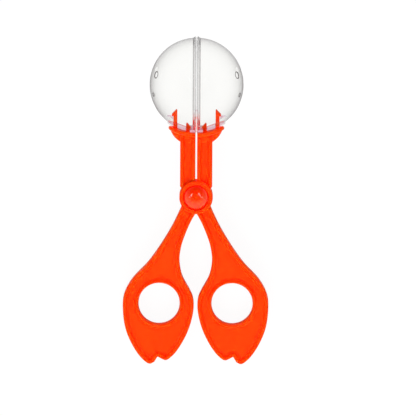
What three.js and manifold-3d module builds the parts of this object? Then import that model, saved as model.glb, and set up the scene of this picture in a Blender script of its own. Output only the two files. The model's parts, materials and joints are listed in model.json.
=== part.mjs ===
// An insect catcher: moulded scissor tongs whose arms carry two clear half balls that close on the insect.
// Millimetres. The tool is drawn flat with the pivot's axis at the origin: x to the right, y along the tool
// towards the ball, z out of its front face. At the end it is laid down, resting on its ball and its claws.

import * as THREE from 'three';
import { mergeVertices } from 'three/addons/utils/BufferGeometryUtils.js';
import Module from 'manifold-3d';

const wasm = await Module();
wasm.setup();

// Clearances
const fitGap = 0.3; // between pieces that touch, snap or turn on each other
const splitGap = 0.3; // between the two flanges of the closed ball
const armGap = 0.9; // between the two arms of the closed tongs
const capGap = 0.7; // round the rivet heads, seen as a groove
const overrun = 1; // how far a cutter runs past what it cuts

// Clear half balls
const ballRadius = 25;
const ballWall = 1.6;
const seatProud = 0.9; // how far the flange and the seat band stand out of the ball
const flangeWidth = 2;
const flangeTip = 0.65; // from the split to the flange's crest
const flangeBevel = 0.6; // fall from the crest to the mating face
const flangeDepth = 2.9;
const seatOverhang = 0.8; // how far the seat band shows past the cup
const ventRadius = 1.6;
const gateVentRadius = 0.8;
// Towards each vent from the ball's centre, as shares of the ball's radius.
const ventShares = [
  [0.87, 0.27, 0.43],
  [0.96, 0.27, 0],
  [0.87, 0.27, -0.43],
];
const gateVentShare = [0.92, -0.26, -0.29];

// Levers
const halfThickness = 4;
const webThickness = 3.6;
const edgeRound = 0.9;
const rimWidth = 1.6;
const insetShare = 0.9999; // of a width, below which a corner moved in by it counts as too near the edge
const armLength = 34.1; // pivot to the bottom of the cup's seat
const armHalfWidth = 8.6;
const armFoot = 5.7; // height of the arm's square shoulder above the pivot
const shoulderRise = 1.2; // fall of the cut corner from the shoulder to the hub

// Cup
const cupHalfWidth = 14.9;
const cupHalfDepth = 9.1;
const cupWall = 1.9;
const beadRadius = 0.95;
const gussetDepth = 11.1; // the cup's swelling underside is half an ellipsoid
const gussetHalfDepth = 5.2;
const gussetLift = 4.2; // from the bottom of the seat to the middle of that ellipsoid
const gussetInset = 0.8; // from the cup's tip in to the ellipsoid's tip

// Snap hooks that hold the half balls
const hookDepth = 5;
const hookRoot = 1.2; // how deep a hook is rooted in the cup
const tallHook = { from: 10.2, thick: 2.1, barb: 0.8, under: 9.5, lip: 0.8, nose: 2.5, crown: 0.45 };
const shortHook = { from: 5.5, thick: 2, barb: 0.8, under: 2.2, lip: 0.8, nose: 2.6, crown: 0.6 };
const ledgeSpread = 1; // how far the latch ledges run past the hook on each side

// Handles
const handleLength = 90;
const handleReach = 38.9;
const fingerHoleRadius = 10.95;
const fingerRing = 1.35;
const crotchGap = 0.8; // between the handles where they leave the hub
// Middle of the finger hole, as shares of reach and length.
const fingerHoleShare = [0.501, 0.639];
// Outside edge from the hub round to the tall claw, in the same shares.
const outerEdgeShares = [
  [0.19, 0.047], [0.221, 0.081], [0.358, 0.201], [0.63, 0.381], [0.88, 0.501], [0.985, 0.592],
  [0.998, 0.68], [0.952, 0.802], [0.818, 0.922], [0.703, 0.981], [0.628, 1], [0.564, 0.989],
];
const notchShare = [0.52, 0.956];
// Inside edge from the short claw back up to the crotch, in the same shares.
const innerEdgeShares = [
  [0.453, 0.972], [0.409, 0.978], [0.365, 0.97], [0.256, 0.922], [0.103, 0.802], [0.028, 0.675],
  [0.036, 0.605], [0.0787, 0.561], [0.188, 0.47], [0.223, 0.381], [0.198, 0.291], [0.127, 0.201],
  [0.064, 0.14],
];

// Hub and snap rivet
const hubRadius = 8.93;
const hubHalfThickness = 4.8;
const hubRound = 0.6;
const counterboreDepth = 2.4;
const capRadius = 6.3;
const capEdge = 1.7; // thickness of a rivet head at its rim
const capCrown = 0.9; // how far the dome rises above that rim
const shankRadius = 3;
const shankBoreRadius = 1.6;
const shankRoof = 0.9; // solid left between the shank's bore and the dome's rim
const plugGap = 0.3;

// Steps round each curve
const ballSteps = 40;
const ballArcSteps = 10;
const edgeSteps = 3;
const holeSteps = 17; // in half a turn
const hubSteps = 36;
const domeSteps = 5;
const bevelSteps = 2;
const beadSideSteps = 5; // in half a turn
const beadSteps = 24;
const ventSteps = 10;
const ovalSteps = 40;

// Places that several pieces share
const ballY = armLength + fitGap + ballRadius + seatProud;
const seatRadius = ballRadius + seatProud;
const cupRadius = seatRadius + fitGap;
const webTop = webThickness / 2;
const capFloor = hubHalfThickness - counterboreDepth;
const capBase = capFloor + fitGap;
const tallLedge = armLength + tallHook.under - fitGap;
const shortLedge = armLength + shortHook.under - fitGap;

// A closed geometry as a solid that can be joined and cut.
function solid(geometry) {
  geometry.deleteAttribute('normal');
  geometry.deleteAttribute('uv');
  const merged = mergeVertices(geometry);
  const vertProperties = new Float32Array(merged.attributes.position.array);
  const triVerts = new Uint32Array(merged.index.array);
  return new wasm.Manifold(new wasm.Mesh({ numProp: 3, vertProperties, triVerts }));
}

function joined(...solids) {
  return solids.reduce((whole, piece) => whole.add(piece));
}

function cut(whole, ...cutters) {
  return cutters.reduce((left, cutter) => left.subtract(cutter), whole);
}

// A box between two corners.
function block(low, high) {
  const size = high.map((value, i) => value - low[i]);
  const box = new THREE.BoxGeometry(...size);
  box.translate(...high.map((value, i) => (value + low[i]) / 2));
  return solid(box);
}

function ball(radius) {
  const sphere = new THREE.SphereGeometry(radius, ballSteps, ballSteps / 2);
  sphere.rotateZ(Math.PI / 2);
  sphere.translate(0, ballY, 0);
  return solid(sphere);
}

// A cylinder about the z axis from one height to another.
function disc(radius, low, high) {
  const cylinder = new THREE.CylinderGeometry(radius, radius, high - low, hubSteps);
  cylinder.rotateX(Math.PI / 2);
  cylinder.translate(0, 0, (low + high) / 2);
  return solid(cylinder);
}

// An upright column of oval section about the tool's long axis.
function ovalColumn(halfWidth, halfDepth, low, high) {
  const cylinder = new THREE.CylinderGeometry(1, 1, 1, ovalSteps);
  cylinder.scale(halfWidth, high - low, halfDepth);
  cylinder.translate(0, (low + high) / 2, 0);
  return solid(cylinder);
}

// A profile of [radius, height] pairs turned about the z axis.
function turned(profile) {
  const points = profile.map(([r, z]) => new THREE.Vector2(r, z));
  const lathe = new THREE.LatheGeometry(points, hubSteps);
  lathe.rotateX(Math.PI / 2);
  return solid(lathe);
}

function outlineShape(points) {
  return new THREE.Shape(points.map(([x, y]) => new THREE.Vector2(x, y)));
}

// An outline raised from one height to another with square edges.
function raised(shape, low, high) {
  const slab = new THREE.ExtrudeGeometry(shape, {
    depth: high - low,
    bevelEnabled: false,
  });
  slab.translate(0, 0, low);
  return solid(slab);
}

// Points round a circle. Its count stays the same at every radius.
function circle([x, y], radius) {
  return Array.from({ length: 2 * holeSteps }, (_, i) => {
    const angle = (Math.PI * i) / holeSteps;
    return [x + radius * Math.cos(angle), y + radius * Math.sin(angle)];
  });
}

// A smooth line through points, with even steps between each two of them.
function smoothLine(points) {
  const knots = points.map(([x, y]) => new THREE.Vector3(x, y, 0));
  const curve = new THREE.CatmullRomCurve3(knots, false, 'centripetal');
  return curve.getPoints(edgeSteps * (points.length - 1)).map((p) => [p.x, p.y]);
}

function distanceToEdge([x, y], outline) {
  let nearest = Infinity;
  outline.forEach(([ax, ay], i) => {
    const [bx, by] = outline[(i + 1) % outline.length];
    const [dx, dy] = [bx - ax, by - ay];
    const share = Math.max(0, Math.min(1, ((x - ax) * dx + (y - ay) * dy) / (dx * dx + dy * dy)));
    nearest = Math.min(nearest, Math.hypot(x - ax - share * dx, y - ay - share * dy));
  });
  return nearest;
}

// The outline moved in by a width. Each corner moves along its mitre, and one that would end nearer to the
// edge than that width joins the last corner before it that keeps clear, so the count stays the same.
function inset(outline, width) {
  const area = outline.reduce((sum, [x, y], i) => {
    const [nx, ny] = outline[(i + 1) % outline.length];
    return sum + (x * ny - nx * y) / 2;
  }, 0);
  const turn = Math.sign(area);
  const inward = (a, b) => {
    const length = Math.hypot(b[0] - a[0], b[1] - a[1]);
    return [(-turn * (b[1] - a[1])) / length, (turn * (b[0] - a[0])) / length];
  };
  const moved = outline.map((point, i) => {
    const before = outline.at(i - 1);
    const after = outline[(i + 1) % outline.length];
    const [ax, ay] = inward(before, point);
    const [bx, by] = inward(point, after);
    const reach = width / (1 + ax * bx + ay * by);
    return [point[0] + (ax + bx) * reach, point[1] + (ay + by) * reach];
  });
  const least = width * insetShare;
  const clear = moved.map((point) => distanceToEdge(point, outline) >= least);
  const lastClear = (i) => (clear.at(i) ? moved.at(i) : lastClear(i - 1));
  return moved.map((_, i) => lastClear(i));
}

// A triangle's corners, or nothing where two of them coincide.
function triangle(...points) {
  return new Set(points.map(String)).size === points.length ? points.flat() : [];
}

// A wall of triangles from one ring up to another of equal count.
function wall(lower, upper) {
  return upper.flatMap((point, i) => {
    const next = (i + 1) % upper.length;
    return [...triangle(lower[i], lower[next], upper[next]), ...triangle(lower[i], upper[next], point)];
  });
}

// A flat lid over an outline and its holes, facing up or down.
function lid(rings, facesUp) {
  const height = rings[0][0][2];
  const loops = rings.map((ring) => outlineShape(ring).getPoints());
  const points = loops.flat().map(({ x, y }) => [x, y, height]);
  const faces = THREE.ShapeUtils.triangulateShape(loops[0], loops.slice(1));
  return faces.flatMap((face) => {
    const corners = face.map((i) => points[i]);
    return triangle(...(facesUp ? corners : corners.reverse()));
  });
}

// A plate with rounded edges, from an outline that runs anticlockwise: rings of the outline and of its hole
// move into the material as the edge turns over, and are joined by walls and closed by two lids.
function plate(outline, hole) {
  const edge = Array.from({ length: bevelSteps + 1 }, (_, i) => {
    const angle = (Math.PI * i) / (2 * bevelSteps);
    return [edgeRound * (1 - Math.cos(angle)), halfThickness - edgeRound * (1 - Math.sin(angle))];
  });
  const levels = [...edge.map(([width, z]) => [width, -z]).reverse(), ...edge];
  const rings = levels.map(([width, z]) => {
    const loops = [inset(outline, width)];
    if (hole) {
      loops.push(circle(hole.middle, hole.radius + width).reverse());
    }
    return loops.map((loop) => loop.map(([x, y]) => [x, y, z]));
  });
  const walls = rings.slice(1).map((upper, level) => upper.map((ring, i) => wall(rings[level][i], ring)));
  const corners = [walls, lid(rings[0], false), lid(rings.at(-1), true)].flat(3);
  const geometry = new THREE.BufferGeometry();
  geometry.setAttribute('position', new THREE.Float32BufferAttribute(corners, 3));
  return solid(geometry);
}

// A lever's plate with a rim left standing round the web on both faces, and round its hole.
function rimmedPlate(outline, hole) {
  const pocket = outlineShape(inset(outline, rimWidth));
  if (hole) {
    pocket.holes.push(outlineShape(circle(hole.middle, hole.radius + fingerRing)));
  }
  const front = raised(pocket, webTop, halfThickness + overrun);
  const back = raised(pocket, -halfThickness - overrun, -webTop);
  return cut(plate(outline, hole), front, back);
}

function arm() {
  const left = armGap / 2;
  const top = armLength + cupWall;
  const hubHeight = armFoot - shoulderRise;
  const hubEdge = Math.sqrt(hubRadius ** 2 - hubHeight ** 2) - fitGap;
  const outline = [
    [left, 0], [hubEdge, 0], [hubEdge, hubHeight], [armHalfWidth, armFoot], [armHalfWidth, top], [left, top],
  ];
  return rimmedPlate(outline);
}

// The left handle.
function handle() {
  const place = ([x, y]) => [-x * handleReach, -y * handleLength];
  const crotch = -crotchGap / 2;
  const inner = [...innerEdgeShares.map(place), [crotch, -hubRadius]];
  const outline = [
    ...smoothLine(outerEdgeShares.map(place)),
    place(notchShare),
    ...smoothLine(inner),
    [crotch, 0],
  ];
  return rimmedPlate(outline, { middle: place(fingerHoleShare), radius: fingerHoleRadius });
}

// The line along the middle of the cup's bead: it stays on a sphere about the ball and over an oval.
class BeadLine extends THREE.Curve {
  getPoint(share) {
    const angle = Math.PI * (share - 1 / 2);
    const x = (cupHalfWidth - beadRadius) * Math.cos(angle);
    const z = (cupHalfDepth - beadRadius) * Math.sin(angle);
    const drop = Math.sqrt((cupRadius + beadRadius) ** 2 - x * x - z * z);
    return new THREE.Vector3(x, ballY - drop, z);
  }
}

function bead() {
  const section = new THREE.Shape().absarc(0, 0, beadRadius, 0, 2 * Math.PI);
  const extrudePath = new BeadLine();
  return solid(
    new THREE.ExtrudeGeometry(section, { steps: beadSteps, curveSegments: beadSideSteps, extrudePath }),
  );
}

// The swelling under the cup that runs out into the arm.
function gusset() {
  const ellipsoid = new THREE.SphereGeometry(1, ballSteps, ballSteps / 2);
  ellipsoid.scale(cupHalfWidth - gussetInset, gussetDepth, gussetHalfDepth);
  ellipsoid.translate(0, armLength + gussetLift, 0);
  return solid(ellipsoid);
}

// The half cup to the right of the split.
function cup() {
  const bottom = armLength - gussetDepth;
  const column = ovalColumn(cupHalfWidth - beadRadius, cupHalfDepth - beadRadius, bottom, ballY);
  const bowl = ball(cupRadius + cupWall).intersect(column);
  const right = block(
    [armGap / 2, bottom, -cupHalfDepth - overrun],
    [cupHalfWidth + overrun, ballY, cupHalfDepth + overrun],
  );
  return joined(cut(joined(bowl, gusset()), ball(cupRadius)), bead()).intersect(right);
}

// A snap hook, drawn as its stem, barb and slanted nose. The sign says which way the barb faces.
function hook(size, facing) {
  const back = size.from;
  const face = back + facing * size.thick;
  const tip = face + facing * size.barb;
  const under = armLength + size.under;
  const middle = (back + face) / 2;
  const root = ballY - Math.sqrt(cupRadius ** 2 - middle ** 2) - hookRoot;
  const crown = under + size.lip + size.nose;
  const outline = [
    [back, root], [face, root], [face, under], [tip, under], [tip, under + size.lip],
    [back + facing * size.crown, crown], [back, crown - size.crown],
  ];
  return raised(outlineShape(outline), -hookDepth / 2, hookDepth / 2);
}

// Both levers are this one moulding: right arm, front half of the lapped hub, and left handle.
function lever() {
  const lapFace = fitGap / 2;
  const hubTop = hubHalfThickness - hubRound;
  const hub = turned([
    [0, lapFace], [hubRadius, lapFace], [hubRadius, hubTop], [hubRadius - hubRound, hubHalfThickness],
    [0, hubHalfThickness],
  ]);
  const plates = joined(arm(), handle());
  const lap = disc(hubRadius + fitGap, -halfThickness - overrun, lapFace);
  const limbs = cut(plates, lap, ball(cupRadius));
  return cut(
    joined(limbs, hub, cup(), hook(tallHook, 1), hook(shortHook, -1)),
    disc(capRadius + capGap, capFloor, hubHalfThickness + overrun),
    disc(shankRadius + fitGap, -overrun, hubHalfThickness),
  );
}

// A wall of revolution about the ball's x axis, closed by the flange at the split.
function halfBall(side) {
  const innerRadius = ballRadius - ballWall;
  const arc = (radius, steps) => {
    const start = Math.asin(flangeWidth / radius);
    return Array.from({ length: steps + 1 }, (_, i) => {
      const angle = start + ((Math.PI / 2 - start) * i) / steps;
      return i === steps ? [0, radius] : [radius * Math.cos(angle), radius * Math.sin(angle)];
    });
  };
  const face = splitGap / 2;
  const flangeBore = seatRadius - flangeDepth;
  const profile = [
    ...arc(innerRadius, ballArcSteps).reverse(),
    [flangeBore, flangeWidth],
    [flangeBore, face],
    [seatRadius - flangeBevel, face],
    [seatRadius, flangeTip],
    ...arc(ballRadius, ballArcSteps),
  ];
  const points = profile.map(([r, x]) => new THREE.Vector2(r, x));
  const lathe = new THREE.LatheGeometry(points, ballSteps);
  lathe.rotateZ((-side * Math.PI) / 2);
  lathe.translate(0, ballY, 0);
  return solid(lathe);
}

// A block on one side of the split. Its corners are given for the right side.
function sideBlock(side, low, high) {
  const xs = [side * low[0], side * high[0]].sort((a, b) => a - b);
  return block([xs[0], low[1], low[2]], [xs[1], high[1], high[2]]);
}

function vent(side, share, radius) {
  const cylinder = new THREE.CylinderGeometry(radius, radius, ballRadius, ventSteps);
  const direction = new THREE.Vector3(side * share[0], share[1], share[2]).normalize();
  const turn = new THREE.Quaternion().setFromUnitVectors(new THREE.Vector3(0, 1, 0), direction);
  cylinder.applyQuaternion(turn);
  const middle = direction.multiplyScalar(ballRadius);
  cylinder.translate(middle.x, ballY + middle.y, middle.z);
  return solid(cylinder);
}

// A clear half ball: wall, flange, seat band and latch ledges, with slots for the hooks and with its vents.
function halfShell(side) {
  const innerRadius = ballRadius - ballWall;
  const bottom = ballY - seatRadius - overrun;
  const slotHalf = hookDepth / 2 + fitGap;
  const ledgeHalf = hookDepth / 2 + ledgeSpread;
  const tallFace = tallHook.from + tallHook.thick + fitGap;
  const shortFace = shortHook.from - shortHook.thick - fitGap;
  const wall = ballRadius - ballWall / 2;
  const column = ovalColumn(cupHalfWidth + seatOverhang, cupHalfDepth + seatOverhang, bottom, ballY);
  const reach = cupHalfWidth + seatOverhang + overrun;
  const band = cut(ball(seatRadius), ball(wall)).intersect(column).intersect(
    sideBlock(side, [flangeWidth / 2, bottom, -ballRadius], [reach, ballY, ballRadius]),
  );
  const tallShelf = sideBlock(side, [tallFace, armLength, -ledgeHalf], [ballRadius, tallLedge, ledgeHalf]);
  const foot = sideBlock(
    side,
    [flangeWidth / 2, ballY - seatRadius, -ledgeHalf],
    [shortFace, shortLedge, ledgeHalf],
  );
  const slotTop = ballY - innerRadius + flangeDepth;
  const tallSlot = sideBlock(
    side,
    [tallHook.from - fitGap, bottom, -slotHalf],
    [tallFace, tallLedge, slotHalf],
  );
  const shortSlot = sideBlock(
    side,
    [shortFace, bottom, -slotHalf],
    [shortHook.from + fitGap, slotTop, slotHalf],
  );
  const barbRoom = sideBlock(
    side,
    [shortFace - shortHook.barb, shortLedge, -slotHalf],
    [shortFace, slotTop, slotHalf],
  );
  return cut(
    joined(halfBall(side), band, tallShelf.intersect(ball(wall)), foot.intersect(ball(seatRadius))),
    tallSlot,
    shortSlot,
    barbRoom,
    ...ventShares.map((share) => vent(side, share, ventRadius)),
    vent(side, gateVentShare, gateVentRadius),
  );
}

// A rivet head's dome, from its rim in to the axis.
function dome() {
  const sphere = (capRadius ** 2 + capCrown ** 2) / (2 * capCrown);
  const half = Math.asin(capRadius / sphere);
  return Array.from({ length: domeSteps }, (_, i) => {
    const angle = half * (1 - (i + 1) / domeSteps);
    const height = capBase + capEdge + capCrown - sphere * (1 - Math.cos(angle));
    return i === domeSteps - 1 ? [0, height] : [sphere * Math.sin(angle), height];
  });
}

// The front half of the snap rivet: a domed head on a hollow shank.
function button() {
  const shankEnd = -capBase + fitGap;
  const boreTop = capBase - shankRoof;
  return turned([
    [0, boreTop], [shankBoreRadius, boreTop], [shankBoreRadius, shankEnd], [shankRadius, shankEnd],
    [shankRadius, capBase], [capRadius, capBase], [capRadius, capBase + capEdge], ...dome(),
  ]);
}

// The rear half: the same head on a plug that enters the shank.
function cap() {
  const plugTop = capBase - shankRoof - plugGap;
  const plugRadius = shankBoreRadius - plugGap;
  const plugBase = -plugTop;
  return turned([
    [0, plugBase], [plugRadius, plugBase], [plugRadius, capBase], [capRadius, capBase],
    [capRadius, capBase + capEdge], ...dome(),
  ]);
}

const orangePlastic = { color: 0xff4a10, roughness: 0.38, metalness: 0 };
const clearPlastic = { color: 0xf2f4f6, roughness: 0.06, metalness: 0, transparent: true, opacity: 0.3 };

// One named piece, with a material of its own.
function piece(name, shape, look) {
  const { vertProperties, triVerts, numProp } = shape.getMesh();
  const geometry = new THREE.BufferGeometry();
  geometry.setAttribute('position', new THREE.BufferAttribute(vertProperties, numProp));
  geometry.setIndex(new THREE.BufferAttribute(triVerts, 1));
  geometry.computeVertexNormals();
  const mesh = new THREE.Mesh(geometry, new THREE.MeshStandardMaterial(look));
  mesh.name = name;
  return mesh;
}

const moulding = lever();
const frontLever = piece('front_lever', moulding, orangePlastic);
const rearLever = piece('rear_lever', moulding, orangePlastic);
rearLever.rotation.y = Math.PI;
const pivotCap = piece('pivot_cap', cap(), orangePlastic);
pivotCap.rotation.y = Math.PI;

const tool = new THREE.Group();
tool.add(
  frontLever,
  rearLever,
  piece('right_shell', halfShell(1), clearPlastic),
  piece('left_shell', halfShell(-1), clearPlastic),
  piece('pivot_button', button(), orangePlastic),
  pivotCap,
);

// Laid down, the tool stands on the ball's flange and on the back edge of its claws.
const span = ballY + handleLength - edgeRound;
tool.rotation.x = Math.asin(seatRadius / Math.hypot(span, halfThickness)) - Math.atan(halfThickness / span);

// The origin is under the middle of the tool, on the table.
const box = new THREE.Box3().setFromObject(tool, true);
const middle = box.getCenter(new THREE.Vector3());
tool.position.set(-middle.x, -middle.y, -box.min.z);

const insectCatcher = new THREE.Group();
insectCatcher.add(tool);

export default insectCatcher;
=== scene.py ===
"""The looks of an insect catcher: two moulded orange levers on a snap rivet, with two clear half balls.

Every surface is worked out in the tool's own frame, in metres: x to the right, y along the tool towards the
ball, z out of its front face, with the rivet's axis at the origin. It is then laid on the table with the
tilt and the pivot that the frame's hinge gives.
"""

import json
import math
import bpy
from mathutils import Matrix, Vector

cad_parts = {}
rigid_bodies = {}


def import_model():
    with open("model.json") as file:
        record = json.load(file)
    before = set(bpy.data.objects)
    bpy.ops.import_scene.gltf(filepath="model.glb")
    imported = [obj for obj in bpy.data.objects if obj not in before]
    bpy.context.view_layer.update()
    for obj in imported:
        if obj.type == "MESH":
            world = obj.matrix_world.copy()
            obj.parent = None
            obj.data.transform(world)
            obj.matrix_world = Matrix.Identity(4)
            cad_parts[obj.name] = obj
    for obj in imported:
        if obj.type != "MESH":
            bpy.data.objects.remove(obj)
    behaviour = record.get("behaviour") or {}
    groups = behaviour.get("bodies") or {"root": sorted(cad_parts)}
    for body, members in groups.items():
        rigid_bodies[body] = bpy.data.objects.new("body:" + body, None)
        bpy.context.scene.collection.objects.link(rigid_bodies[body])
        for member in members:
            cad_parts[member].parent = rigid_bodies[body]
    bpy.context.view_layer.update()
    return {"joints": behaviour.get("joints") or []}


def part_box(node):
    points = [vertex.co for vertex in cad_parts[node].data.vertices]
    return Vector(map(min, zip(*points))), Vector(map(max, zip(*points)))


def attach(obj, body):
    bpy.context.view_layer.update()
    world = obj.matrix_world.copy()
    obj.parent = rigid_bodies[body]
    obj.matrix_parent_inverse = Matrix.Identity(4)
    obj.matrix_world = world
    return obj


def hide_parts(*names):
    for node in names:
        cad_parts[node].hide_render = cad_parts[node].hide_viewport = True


bl_info = {
    "name": "Insect catcher",
    "version": (1, 0, 0),
    "blender": (4, 5, 0),
    "location": "3D view > Sidebar > Catcher",
    "description": "Moulded scissor tongs with two clear half balls, and the stage they are pictured on",
    "category": "Object",
}

from types import SimpleNamespace

import bmesh
import bpy
import numpy as np
from bpy.props import FloatProperty, FloatVectorProperty, IntProperty, PointerProperty
from mathutils import Matrix, Vector
from mathutils.geometry import tessellate_polygon

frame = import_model()
HINGE = frame["joints"][0]
PIVOT = np.array(HINGE["pos_m"])
TILT = math.atan2(-HINGE["axis"][1], HINGE["axis"][2])
FRONT, REAR = HINGE["parent"], HINGE["child"]
LEVER_LOW, LEVER_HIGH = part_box("front_lever")
SHELL_LOW, SHELL_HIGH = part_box("right_shell")
HEAD_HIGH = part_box("pivot_button")[1]
# What the roundest shapes stay inside their boxes by, in metres.
MARGIN = 1e-5
# Points closer than the first are merged, and edges shorter than the second are dropped, in metres.
SAME_POINT, NO_EDGE = 1e-7, 1e-8
# A distance too short to count as any, in metres.
NOTHING = 1e-9
# Steps along the arcs of the balls and domes, of the seat bands, of the cup's lip, of rounded edges and of
# the hooks' edges.
ARC_STEPS, SEAT_STEPS, LIP_STEPS, EDGE_STEPS, HOOK_STEPS = 48, 32, 16, 6, 4
# Steps round a vent and the small vent, and between two knots of a smooth line.
VENT_STEPS, GATE_STEPS, SPAN_STEPS = 48, 32, 16
# How far towards the middle line of an outline a plate's profile may reach.
ROOM_SHARE = 0.98
# How far the profile's last points lie out on the pocket's floor, as shares of the outside edges' radius.
FLOOR_SHARES = (0.25, 0.5)
# The angle between two faces over which their edge stays sharp.
SHARP_ANGLE = math.radians(32)

# Outside edge of a handle from the hub round to the tall claw, as shares of its reach and length.
OUTER_EDGE_SHARES = [
    [0.19, 0.047], [0.221, 0.081], [0.358, 0.201], [0.63, 0.381], [0.88, 0.501], [0.985, 0.592],
    [0.998, 0.68], [0.952, 0.802], [0.818, 0.922], [0.703, 0.981], [0.628, 1], [0.564, 0.989],
]
NOTCH_SHARE = [0.52, 0.956]
# Inside edge from the short claw back up to the crotch, in the same shares.
INNER_EDGE_SHARES = [
    [0.453, 0.972], [0.409, 0.978], [0.365, 0.97], [0.256, 0.922], [0.103, 0.802], [0.028, 0.675],
    [0.036, 0.605], [0.0787, 0.561], [0.188, 0.47], [0.223, 0.381], [0.198, 0.291], [0.127, 0.201],
    [0.064, 0.14],
]
FINGER_HOLE_SHARE = [0.501, 0.639]
# Towards each vent of the right half ball from its centre, as shares of its radius.
VENT_SHARES = [[0.87, 0.27, 0.43], [0.96, 0.27, 0], [0.87, 0.27, -0.43]]
GATE_VENT_SHARE = [0.92, -0.26, -0.29]

# Where the painted shade of a rivet head, a deep orange, begins and where it is full, as shares of the
# head's
# radius: away from its axis, by its groove, and from it towards the ball, where its dome faces away from the
# key lamp.
HEAD_EDGE_SHARES = (0.88, 1.0)
HEAD_ALONG_SHARES = (-0.7, 1.1)
# Where each part of a half ball begins and where it is whole, as shares of a length.
PART_SHARES = {
    # Of the outer radius, away from the ball's centre.
    "outside": (0.985, 0.99),
    # Of the inner radius, away from the ball's centre.
    "ledge_face": (0.995, 0.99),
    # Of the outer radius, from the ball's centre along the tool. The last two lean.
    "sides": (-0.85, -0.6),
    "crown": (0.2, 0.8),
    "ledge": (-0.64, -0.66),
    # Where the flange's foot with its painted reflection of the cup begins.
    "foot": (-0.92, -0.94),
    # Where the flange gets its painted reflection of the cup.
    "flush": (-0.4, -0.82),
    "seat": (-1.036, -1.05),
    # The seat's line, where a painted reflection of the cup runs.
    "line": (-1.068, -1.056),
    # Of the flange's width, away from the split.
    "foot_side": (1.75, 1.65),
    "flange": (1.05, 0.95),
    "flange_edge": (0.55, 0.9),
    # Of a vent's radius, away from its axis.
    "vent": (1.35, 1.2),
    "gate_vent": (1.7, 1.4),
}
# The same for depths out of the tool's front face, in metres from the ball's centre.
PART_DEPTHS = {"vent": (0, 0.001), "ledge": (0.002, 0.0015), "seat": (-0.002, -0.003)}
# How far the seat and its line rise for each step away from the split.
SEAT_LEAN = 0.42
# How quickly the wall's painted grey shade, its gloss and the flange's painted grey shade fade from edge on
# to square on, as powers.
WALL_FADE, GLOSS_FADE, FLANGE_FADE = 3.2, 5, 2.2
PLASTIC_IOR = 1.49
# How far red, green and blue light travel in the orange plastic, in metres.
LIGHT_DEPTHS = (0.004, 0.0006, 0.0003)
# How near another face must be for the painted corner shade to deepen the orange, and for the painted glow
# to show there, in metres.
CORNER_REACH = 0.002
# How grey the wall's painted shade is near the seat and at the crown, as shares of that of its sides.
SEAT_GREY, CROWN_GREY = 0.3, 0.7
# How much painted grey shade the wall has, and how glossy it is, seen square on.
LEAST_GREY, LEAST_GLOSS = 0.003, 0.005
# How much painted grey shade the flange has seen square on, and how much more at its edge.
FLANGE_GREY, FLANGE_EDGE_GREY = 0.25, 0.35
# How far the flange's foot takes on its painted dark pink reflection of the orange cup.
FOOT_TINT = 0.6
# Noises to a metre: the clouds and the grain of the orange plastic, the waves and the haze of the clear one.
CLOUDS, GRAIN, WAVES, HAZE = 70.0, 1400.0, 45.0, 260.0
# How much rougher clouds, grain and haze make the surface, as shares of its smoothest places' roughness.
CLOUD_ROUGH, GRAIN_ROUGH, HAZE_ROUGH = 0.4, 0.2, 2
# Strength of the grain's bumps for each unit of that roughness.
GRAIN_BUMP = 0.24

# The stage's power that each lamp has, its ends and width in metres, and whether it shows in gloss.
LAMPS = {
    "key": ("key", (-0.6, -1.0, 0.95), (0.4, -1.0, 0.95), 0.7, False),
    "back": ("back", (-0.5, 1.2, 0.35), (0.5, 1.2, 0.35), 0.4, False),
    "strip_left": ("strips", (-0.554, -0.357, 1), (-0.291, -0.009, 1), 0.05, True),
    "strip_right": ("strips", (0.177, -0.011, 1), (0.516, -0.338, 1), 0.05, True),
}
# Upward parts of a direction: above the first the surroundings are dark in gloss, below the second pale.
CEILING = (0.94, 0.65)
# Strength of the fill at the horizon and overhead, as shares of it.
LOW_FILL, HIGH_FILL = 1.25, 0.75
# How far the floor shows its own white in place of the light that falls on it.
FLOOR_GLOW = 0.9


def length(name, description, default):
    """A size in metres that a user can change."""
    return FloatProperty(name=name, description=description, default=default, unit="LENGTH", precision=5)


def colour(name, description, default):
    """A colour that a user can change, in linear light."""
    return FloatVectorProperty(
        name=name, description=description, default=default, subtype="COLOR", min=0, max=1
    )


def factor(name, description, default):
    """A share from 0 to 1 that a user can change."""
    return FloatProperty(name=name, description=description, default=default, subtype="FACTOR", min=0, max=1)


def power(name, description, default):
    """A lamp's power in watts that a user can change."""
    return FloatProperty(name=name, description=description, default=default, unit="POWER", min=0)


class CatcherGaps(bpy.types.PropertyGroup):
    """Clearances between the pieces."""

    fit: length("Fit", "Gap between pieces that touch, snap or turn on each other", 0.0003)
    arms: length("Arms", "Gap between the two arms of the closed tongs", 0.0009)
    heads: length("Heads", "Groove round the rivet heads", 0.0007)
    overrun: length("Overrun", "How far a cutter runs past what it cuts", 0.001)
    crotch: length("Crotch", "Gap between the handles where they leave the hub", 0.0008)


class CatcherPlates(bpy.types.PropertyGroup):
    """The rimmed plates of the arms and handles."""

    half: length("Half thickness", "From the middle of a plate to the top of its rim", 0.00399)
    web: length("Web", "From the middle of a plate to the floor of its pocket", 0.0018)
    edge: length("Edge round", "Radius of the outside edges", 0.0009)
    rim: length("Rim", "Width of the rim", 0.0016)
    soft: length("Soft edge", "Radius of the rim's inside edge", 0.00035)
    fillet: length("Fillet", "Radius between the pocket's wall and its floor", 0.0016)
    draft: length("Draft", "How far the pocket's wall leans", 0.0001)
    corner: length("Corner", "How far sharp corners of an outline are softened", 0.0003)
    spacing: length("Spacing", "Distance between points along an outline", 0.00025)


class CatcherArms(bpy.types.PropertyGroup):
    """The arms between hub and cup."""

    reach: length("Length", "From the pivot to the bottom of the cup's seat", 0.0341)
    half_width: length("Half width", "From the split to the arm's outside edge", 0.0086)
    foot: length("Foot", "Height of the square shoulder above the pivot", 0.0057)
    rise: length("Shoulder rise", "Fall of the cut corner from the shoulder to the hub", 0.0012)


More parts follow.
